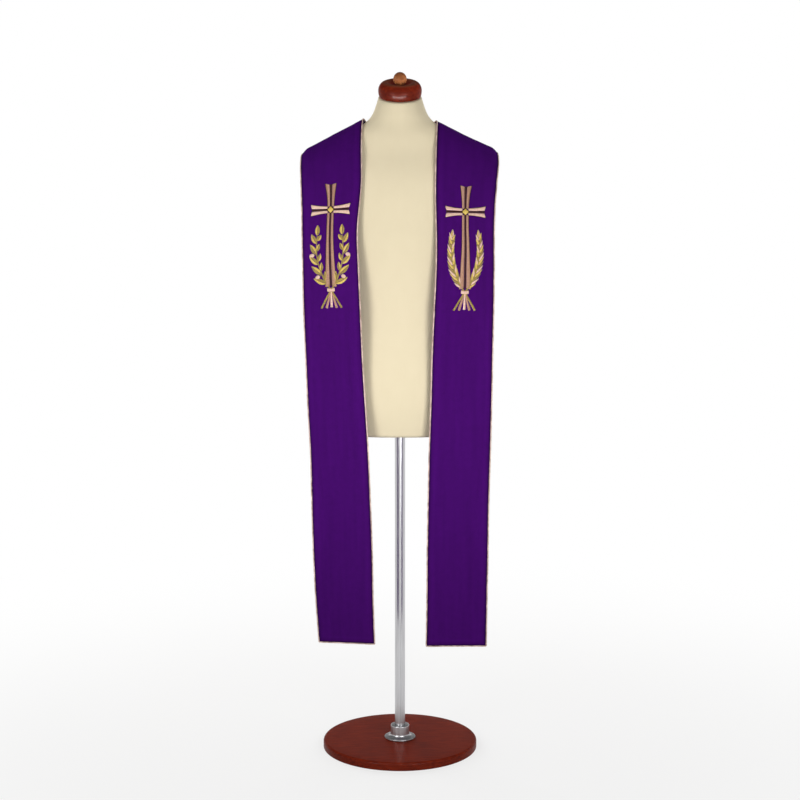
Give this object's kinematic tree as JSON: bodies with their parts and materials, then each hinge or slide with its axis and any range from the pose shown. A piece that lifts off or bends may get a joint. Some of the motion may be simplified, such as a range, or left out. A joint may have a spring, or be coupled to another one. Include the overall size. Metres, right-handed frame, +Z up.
{
  "type": "clerical stole on a dress form",
  "caption": "Straight clerical stole of lined cloth with corded edges, mitred at the centre back and draped over a limbless dress form on a pole and a round foot.",
  "frame": {"origin": "on the floor, at the middle of the stand's round foot", "axes": "+Z up along the pole, the front of the form and of the stole faces -Y, +X to the wearer's left"},
  "size_m": [0.4719, 0.38, 1.65],
  "materials": {
    "purple_cloth": "matte closely woven purple cloth",
    "gold_cord": "twisted metallic gold cord",
    "cream_jersey": "matte cream knitted jersey, stretched tight",
    "mahogany": "red-brown stained wood, satin varnish",
    "knob_wood": "lighter brown turned wood, satin varnish",
    "pole_steel": "brushed steel tube"
  },
  "bodies": {
    "root": {"stole_right_band": "purple_cloth", "stole_left_band": "purple_cloth", "edge_cord_right": "gold_cord", "edge_cord_left": "gold_cord", "form_body": "cream_jersey", "neck_cap": "mahogany", "cap_knob": "knob_wood", "pole": "pole_steel", "pole_collar": "pole_steel", "stand_foot": "mahogany"}
  },
  "joints": []
}
